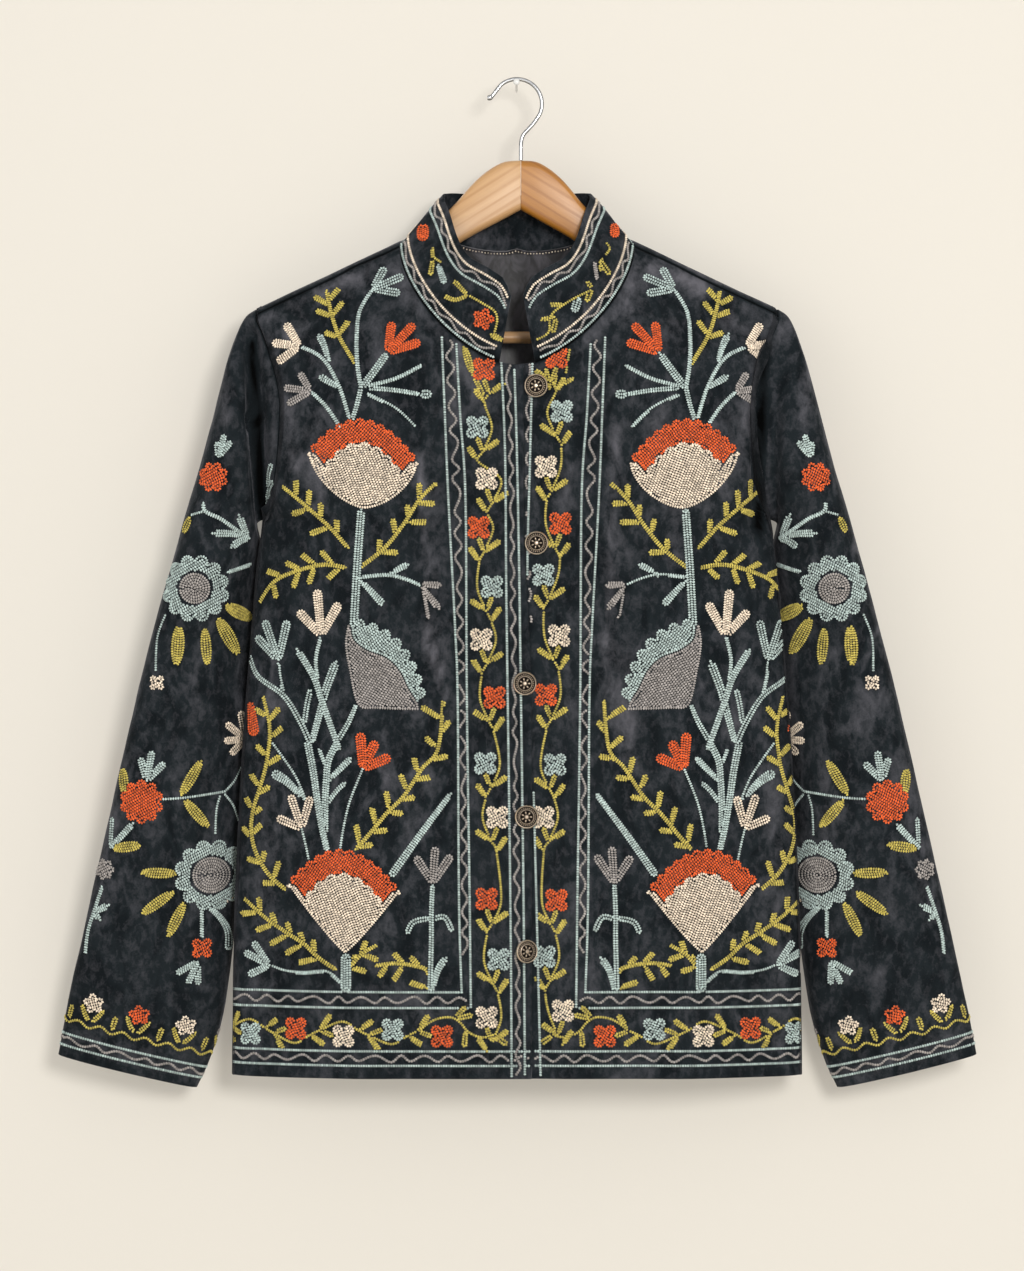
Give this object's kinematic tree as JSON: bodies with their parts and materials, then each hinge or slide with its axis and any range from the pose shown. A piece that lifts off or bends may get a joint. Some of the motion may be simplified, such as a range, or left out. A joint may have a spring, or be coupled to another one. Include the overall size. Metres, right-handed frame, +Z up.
{
  "type": "embroidered velvet jacket on a wooden hanger",
  "caption": "Hip-length velvet jacket with a stand collar, long sleeves, a buttoned front and floral chain-stitch embroidery, on a wooden hanger with a steel hook.",
  "frame": {"origin": "inner top of the hanger's hook, where a rail or nail holds it", "axes": "+Z up, +X to the right of someone who faces the jacket, which is the wearer's left, +Y towards the jacket's back"},
  "size_m": [0.707, 0.0992, 0.7784],
  "materials": {
    "velvet": "blue-black cotton velvet with a crushed pile",
    "lining": "dark grey satin",
    "bronze": "dark antique bronze, engraved",
    "hanger_wood": "clear satin varnish",
    "hook_steel": "polished wire"
  },
  "bodies": {
    "root": {"front_right": "velvet", "front_left": "velvet", "back_panel": "velvet", "sleeve_right": "velvet", "sleeve_left": "velvet", "collar": "velvet", "back_lining": "lining", "button_1": "bronze", "button_2": "bronze", "button_3": "bronze", "button_4": "bronze", "button_5": "bronze", "hanger_arm_right": "hanger_wood", "hanger_arm_left": "hanger_wood", "hanger_bar": "hanger_wood", "hanger_hook": "hook_steel"}
  },
  "joints": []
}
